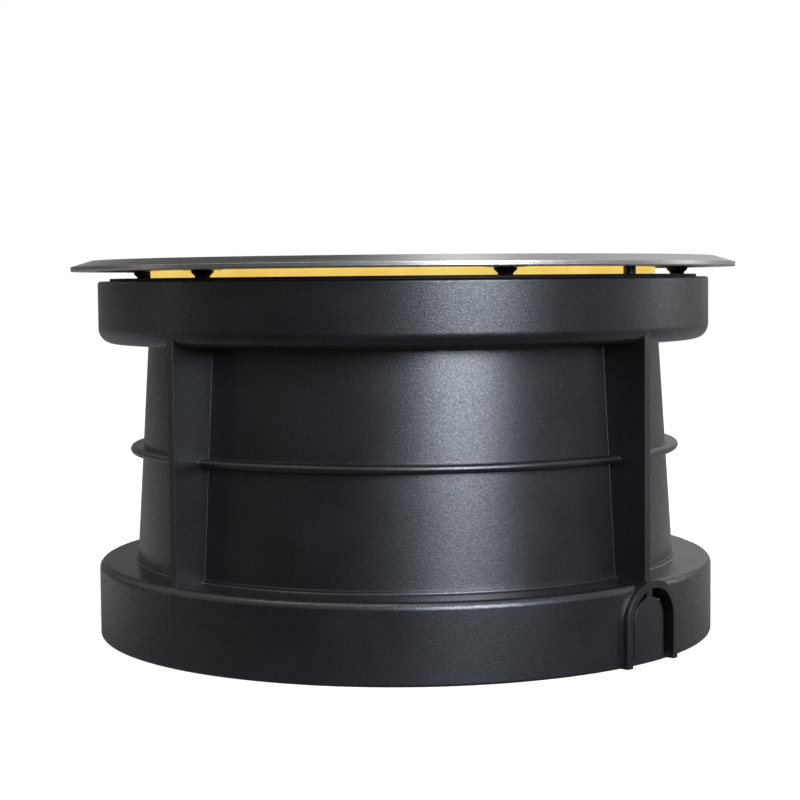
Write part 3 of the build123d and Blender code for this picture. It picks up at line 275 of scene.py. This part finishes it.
def castAluminium():
    look = {
        "dark": (0.5, 0.51, 0.52), "light": (0.74, 0.75, 0.76), "tintSpan": (0.5, 1.0), "rough": (0.38, 0.6),
        "cast": 0.8 * mm, "stain": 12 * mm, "depth": 0.05 * mm, "edge": 0.3 * mm,
    }
    shade = Shade("castAluminium")
    where = shade.place()
    cast, stain = shade.noise(where, look["cast"], 4, 0.7), shade.noise(where, look["stain"], 3)
    return shade.finish(
        baseColor=shade.tint(cast + stain * 0.5, look["tintSpan"], look["dark"], look["light"]), metallic=1.0,
        roughness=shade.ramp(cast, (0, 1), look["rough"]),
        normal=shade.rounded(shade.bump(cast, look["depth"]), look["edge"]),
    )


def clearGlass(name, tint):  # clear, with a faint smear that only shows in its reflections
    look = {"smear": 18 * mm, "rough": (0.02, 0.07), "roughSpan": (0.5, 0.9), "ior": 1.5}
    shade = Shade(name)
    smear = shade.noise(shade.place(), look["smear"], 4, 0.6)
    return shade.finish(
        baseColor=tint, roughness=shade.ramp(smear, look["roughSpan"], look["rough"]), transmission=1.0,
        ior=look["ior"],
    )


def mouldedPlastic(name, colour, rough, gloss=0.5):
    look = {
        "fine": 0.35 * mm, "cloud": 9 * mm, "darker": 0.86, "tintSpan": (0.3, 0.7), "depth": 0.012 * mm,
        "rough": (rough - 0.06, rough + 0.1), "roughSpan": (0.3, 1.1),
    }
    shade = Shade(name)
    where = shade.place()
    fine, cloud = shade.noise(where, look["fine"]), shade.noise(where, look["cloud"], 3)
    darker = tuple(c * look["darker"] for c in colour)
    return shade.finish(
        baseColor=shade.tint(cloud, look["tintSpan"], darker, colour),
        roughness=shade.ramp(fine + cloud * 0.5, look["roughSpan"], look["rough"]),
        normal=shade.bump(fine, look["depth"]), specular=gloss,
    )


finishes = {
    "sleeve_plastic": grainedPlastic(),
    "black_rubber": blackRubber(),
    "brass": turnedMetal("turnedBrass", (0.72, 0.52, 0.25), 0.3),
    "ring_steel": brushedRing(),
    "screw_steel": turnedMetal("screwSteel", (0.6, 0.6, 0.61), 0.28),
    "black_screw": turnedMetal("blackScrew", (0.07, 0.07, 0.075), 0.35),
    "lens_glass": clearGlass("lensGlass", (0.93, 0.975, 0.95)),
    "yellow_silicone": amberSilicone(),
    "housing_paint": paintedMetal("housingPaint", (0.045, 0.047, 0.05), 0.45),
    "bezel_black": mouldedPlastic("bezelBlack", (0.012, 0.012, 0.013), 0.6, 0.3),
    "engine_aluminium": castAluminium(),
    "gimbal_steel": paintedMetal("gimbalSteel", (0.1, 0.1, 0.105), 0.4),
    "board_white": mouldedPlastic("boardWhite", (0.86, 0.86, 0.83), 0.35),
    "led_phosphor": mouldedPlastic("ledPhosphor", (0.93, 0.72, 0.12), 0.35),
    "optic_acrylic": clearGlass("opticAcrylic", (0.97, 0.985, 0.99)),
    "driver_case": mouldedPlastic("driverCase", (0.8, 0.8, 0.77), 0.45),
    "terminal_plastic": mouldedPlastic("terminalPlastic", (0.78, 0.76, 0.7), 0.4),
    "lead_sleeve": mouldedPlastic("leadSleeve", (0.2, 0.09, 0.04), 0.35),
    "gland_nylon": mouldedPlastic("glandNylon", (0.02, 0.02, 0.021), 0.42),
}
slotOf = {part["node"]: part["material_slot"] for part in frame["record"]["subparts"]}
bodyOf = {name: body for body, names in frame["record"]["behaviour"]["bodies"].items() for name in names}
for name, node in nodes.items():
    node.data.materials.clear()
    node.data.materials.append(finishes[slotOf[name]])
print("finishes made:", len(finishes))

# How a node's mesh is finished: points closer than merge become one, triangles within flat degrees become one
# face, and an edge that turns more than corner degrees is sharp. The lean is the sideways part of a normal.
dressing = {"merge": 0.002 * mm, "flat": 0.3, "corner": 32, "segments": 2, "weight": 60, "lean": 0.11}


def gather(items, name, width=1, kind=np.float32):  # one value of every point, face or face corner, as an array
    values = np.empty(len(items) * width, kind)
    items.foreach_get(name, values)
    return values.reshape(-1, width) if width > 1 else values


def evenNormals(mesh, corner):
    # Each corner's normal is the mean over the faces at its point that turn less than an angle away from its own
    # face, where a face counts by its area squared, so that a small fillet doesn't shade the wide face beside it.
    # A normal that still leans sideways a little, seen from the Z axis, is then turned to point straight out,
    # because only the cutting of a turned surface into triangles leans it.
    spots, point = gather(mesh.vertices, "co", 3), gather(mesh.loops, "vertex_index", 1, np.int32)
    planes, areas = gather(mesh.polygons, "normal", 3), gather(mesh.polygons, "area").astype(float)
    sides = gather(mesh.polygons, "loop_total", 1, np.int32)
    face, order = np.repeat(np.arange(len(sides)), sides), np.argsort(point, kind="stable")
    shared = np.bincount(point)[point[order]]
    first = np.repeat(order, shared)  # every corner, paired with each corner at the same point
    step = np.arange(len(first)) - np.repeat(np.cumsum(shared) - shared, shared)
    second = order[np.repeat(np.searchsorted(point[order], point[order]), shared) + step]
    near = (planes[face[first]] * planes[face[second]]).sum(axis=1) > math.cos(math.radians(corner))
    weight = near * (areas[face[second]] / mm ** 2) ** 2
    sums = [np.bincount(first, weight * planes[face[second], i], len(point)) for i in range(3)]
    normals, least = np.stack(sums, axis=1), 1e-12
    size = np.linalg.norm(normals, axis=1, keepdims=True)
    normals = np.where(size > least, normals / np.maximum(size, least), planes[face])
    flat = spots[point, :2]
    outwards = flat / np.maximum(np.linalg.norm(flat, axis=1, keepdims=True), 0.001 * mm)
    out = (normals[:, :2] * outwards).sum(axis=1, keepdims=True)
    side = normals[:, 1] * outwards[:, 0] - normals[:, 0] * outwards[:, 1]
    leaning = np.abs(side) < dressing["lean"]
    normals[leaning, :2] = (outwards * out)[leaning]
    normals /= np.linalg.norm(normals, axis=1, keepdims=True)
    mesh.normals_split_custom_set(normals.tolist())


def dress(name, pieceName, edge, corner=dressing["corner"]):
    # A finished copy of a node. Where it has an edge width its sharp edges are really rounded. Where that is 0
    # its faces stay as they are with even normals, and its material may round the look of its edges.
    mesh = bpy.data.meshes.new(pieceName)
    work = bmesh.new()
    work.from_mesh(nodes[name].data)
    bmesh.ops.remove_doubles(work, verts=work.verts, dist=dressing["merge"])
    if edge:
        flat = math.radians(dressing["flat"])
        bmesh.ops.dissolve_limit(work, angle_limit=flat, verts=work.verts, edges=work.edges)
    work.to_mesh(mesh)
    work.free()
    mesh.materials.append(finishes[slotOf[name]])
    piece = bpy.data.objects.new(pieceName, mesh)
    bpy.context.scene.collection.objects.link(piece)
    mesh.shade_smooth()
    if edge:
        bevel = piece.modifiers.new("roundedEdges", "BEVEL")
        bevel.width, bevel.segments, bevel.limit_method = edge, dressing["segments"], "ANGLE"
        bevel.angle_limit, bevel.miter_outer = math.radians(corner), "MITER_ARC"
        bevel.use_clamp_overlap = False
        even = piece.modifiers.new("evenShading", "WEIGHTED_NORMAL")
        even.mode, even.weight, even.keep_sharp = "FACE_AREA", dressing["weight"], False
    else:
        evenNormals(mesh, corner)
    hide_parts(name)
    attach(piece, bodyOf[name])


# the node, its finished copy's name, the width of its rounded edges and, on the ring, its own corner angle
pieces = {
    "mounting_sleeve": ("sleeveShell", 0.0),
    "sleeve_rim_gasket": ("rimGasket", 0.0),
    "sleeve_inserts": ("threadedInserts", 0.2 * mm),
    "trim_ring": ("trimRing", 0.0, 12),
    "ring_screws": ("ringScrews", 0.12 * mm),
    "captive_washers": ("washers", 0.12 * mm),
    "screw_grommets": ("grommets", 0.25 * mm),
    "jacking_screws": ("jackingScrews", 0.12 * mm),
    "lens_glass": ("lens", 0.15 * mm),
    "lens_gasket": ("lensGasket", 0.2 * mm),
    "lamp_housing": ("lampHousing", 0.0),
    "clamp_screws": ("clampScrews", 0.12 * mm),
    "glare_bezel": ("glareBezel", 0.3 * mm),
    "turntable": ("turntableRing", 0.25 * mm),
    "turntable_clips": ("turntableClips", 0.3 * mm),
    "clip_screws": ("clipScrews", 0.12 * mm),
    "pivot_pins": ("pivotPins", 0.2 * mm),
    "heat_sink": ("heatSink", 0.0),
    "tilt_lock_screw": ("tiltLockScrew", 0.2 * mm),
    "led_board": ("ledBoard", 0.12 * mm),
    "led_chips": ("ledChips", 0.1 * mm),
    "collimator_lenses": ("collimators", 0.1 * mm),
    "optic_holder": ("opticHolder", 0.0),
    "board_screws": ("boardScrews", 0.12 * mm),
    "gear_cover": ("gearCover", 0.3 * mm),
    "cover_screws": ("coverScrews", 0.15 * mm),
    "vent_valve": ("ventValve", 0.25 * mm),
    "gland_body": ("glandBody", 0.35 * mm),
    "gland_nut": ("glandNut", 0.5 * mm),
    "gland_seal": ("glandSeal", 0.2 * mm),
}
for name, options in pieces.items():
    dress(name, *options)
print("pieces dressed:", len(pieces))


def paleFloor():
    # White where the camera looks at it, and without glow under the sleeve. What metal and plastic mirror of it
    # changes from the front to the back: its glow grows, and its colour gets a little paler.
    look = {
        "half": 8.0, "low": 0.2 * mm, "glow": 0.82, "colour": (0.8, 0.8, 0.8), "sleeve": (0.1222, 0.1242),
        "mirroredGlow": (0.0, 0.1), "glowSpan": (-0.3, 0.2),
        "mirroredColour": (0.05, 0.05, 0.05), "share": (1, 0.66), "shareSpan": (-0.2, 0.05),
    }
    mesh = bpy.data.meshes.new("floor")
    half, low = look["half"], -look["low"]
    corners = [(-half, -half, low), (half, -half, low), (half, half, low), (-half, half, low)]
    mesh.from_pydata(corners, [], [(0, 1, 2, 3)])
    floor = bpy.data.objects.new("floor", mesh)
    bpy.context.scene.collection.objects.link(floor)
    shade = Shade("paleFloor")
    seen = shade.rays("Is Camera Ray") + shade.rays("Is Transmission Ray")
    shiny = shade.rays("Is Glossy Ray")
    x, y, z = shade.axes(shade.place())
    outside = shade.ramp((x * x + y * y) ** 0.5, look["sleeve"])
    mirrored = shiny * shade.ramp(y, look["glowSpan"], look["mirroredGlow"])
    share = shiny * shade.ramp(y, look["shareSpan"], look["share"])
    colour = shade.blend(share, look["colour"], look["mirroredColour"])
    lit = shade.add("ShaderNodeBsdfDiffuse", None, {"Color": colour})
    level = shade.maths("MAXIMUM", seen * look["glow"], mirrored)
    glow = shade.add("ShaderNodeEmission", None, {"Color": (1, 1, 1, 1), "Strength": level * outside})
    both = shade.add("ShaderNodeAddShader", None, {0: lit, 1: glow})
    shade.add("ShaderNodeOutputMaterial", None, {"Surface": both})
    mesh.materials.append(shade.material)


def studioWorld():
    # Soft even fill. Mirrors see a studio instead: levels round the horizon, levels higher up, and a pale ceiling.
    look = {
        "fill": 0.22, "ceiling": 0.6, "brightest": 2.0,
        "rise": (0.16, 0.28), "top": (0.62, 0.74),  # heights, as the sine of the elevation, over which they change
        # turn from the front in degrees, then how bright it is there
        "horizon": [
            (-180, 0.38), (-150, 0.13), (-120, 0.08), (-103, 0.07), (-90, 0.14), (-74, 0.12), (-45, 0.12),
            (0, 0.1), (28, 0.18), (48, 0.34), (90, 0.41), (130, 0.36), (180, 0.38),
        ],
        "higher": [
            (-180, 0.03), (-160, 0.06), (-120, 0.4), (-60, 0.4), (0, 0.3), (60, 0.4), (120, 0.6),
            (166, 0.7), (172, 0.35), (175, 0.35), (175.9, 2.0), (177.7, 2.0), (178.9, 0.25),
        ],
    }
    world = bpy.data.worlds.new("studio")
    bpy.context.scene.world = world
    world.use_nodes = True
    shade = Shade(world=world)
    seen = shade.rays("Is Camera Ray") + shade.rays("Is Transmission Ray")
    shiny = shade.rays("Is Glossy Ray")
    x, y, z = shade.axes(shade.add("ShaderNodeTexCoord", output="Generated"))
    turn = shade.ramp(shade.maths("ARCTAN2", x, 0 - y), (-math.pi, math.pi))

    def around(levels):  # the level in one direction, from a list of turns and levels
        stops = [((angle + 180) / 360, (level / look["brightest"],) * 3) for angle, level in levels]
        ramp = shade.add("ShaderNodeValToRGB", {"stops": stops}, {0: turn})
        return shade.add("ShaderNodeRGBToBW", None, {0: ramp}) * look["brightest"]

    horizon, higher = around(look["horizon"]), around(look["higher"])
    mirrored = horizon + (higher - horizon) * shade.ramp(z, look["rise"])
    mirrored = mirrored + (look["ceiling"] - mirrored) * shade.ramp(z, look["top"])
    level = look["fill"] + (mirrored - look["fill"]) * shiny
    white = level + (1.0 - level) * shade.maths("MINIMUM", seen, 1.0)
    sky = shade.add("ShaderNodeBackground", None, {"Color": (1, 1, 1, 1), "Strength": white})
    shade.add("ShaderNodeOutputWorld", None, {"Surface": sky})


middle = 0.1  # height that the lamps face


def softbox(name, look):  # a soft lamp
    lamp = bpy.data.lights.new(name, "AREA")
    width, height = look["size"]
    lamp.shape, lamp.size, lamp.size_y = "RECTANGLE", width, height
    lamp.energy, lamp.color = look["level"] * math.pi * width * height, look["colour"]
    box = bpy.data.objects.new(name, lamp)
    turn, rise = math.radians(look["turn"]), math.radians(look["rise"])
    outwards = Vector((math.sin(turn) * math.cos(rise), -math.cos(turn) * math.cos(rise), math.sin(rise)))
    box.location = outwards * look["away"] + Vector((0, 0, middle))
    box.rotation_euler = outwards.to_track_quat("Z", "Y").to_euler()
    bpy.context.scene.collection.objects.link(box)


# turn from the front to the right and rise in degrees, distance, size, how bright its face is, and its colour
softboxes = {
    "keyLight": {
        "turn": 24, "rise": 20, "away": 2.0, "size": (0.85, 1.15), "level": 17.2, "colour": (0.9, 0.94, 1.0),
    },
    "topLight": {
        "turn": 18, "rise": 72, "away": 1.8, "size": (1.0, 0.7), "level": 2.6, "colour": (1, 1, 1),
    },
    "leftStrip": {
        "turn": -90, "rise": 10, "away": 2.0, "size": (0.2, 0.7), "level": 0.85, "colour": (1.0, 0.93, 0.82),
    },
    "leftTop": {
        "turn": -70, "rise": 62, "away": 1.8, "size": (0.5, 0.6), "level": 2.5, "colour": (1.0, 0.97, 0.92),
    },
    "sideLight": {
        "turn": 106, "rise": 12, "away": 2.0, "size": (0.7, 0.8), "level": 1.5, "colour": (0.95, 0.97, 1.0),
    },
}


def photoCamera():
    # The photograph's own camera, found from its ellipses. Angles are in degrees and the turn is to the left.
    look = {
        "distance": 0.75624, "height": 0.14168, "down": 3.704, "roll": 0.515, "turn": -0.122,
        "focal": 1827.46, "picture": 800, "sensor": 36,  # the focal length and the picture's width in pixels
    }
    lens = bpy.data.cameras.new("photoCamera")
    lens.sensor_width, lens.lens = look["sensor"], look["sensor"] * look["focal"] / look["picture"]
    camera = bpy.data.objects.new("photoCamera", lens)
    turn, down, roll = (math.radians(look[key]) for key in ("turn", "down", "roll"))
    side = Vector((math.cos(turn), -math.sin(turn), 0))
    level = Vector((math.sin(turn), math.cos(turn), 0))
    ahead = level * math.cos(down) - Vector((0, 0, 1)) * math.sin(down)
    above = level * math.sin(down) + Vector((0, 0, 1)) * math.cos(down)
    right = side * math.cos(roll) - above * math.sin(roll)
    top = side * math.sin(roll) + above * math.cos(roll)
    place = Matrix((right, top, -ahead)).transposed().to_4x4()
    place.translation = Vector((0, -look["distance"], look["height"]))
    camera.matrix_world = place
    bpy.context.scene.collection.objects.link(camera)
    bpy.context.scene.camera = camera


paleFloor()
studioWorld()
for name, look in softboxes.items():
    softbox(name, look)
photoCamera()
bpy.context.scene.view_settings.view_transform = "Standard"
print("stage, light and camera set")
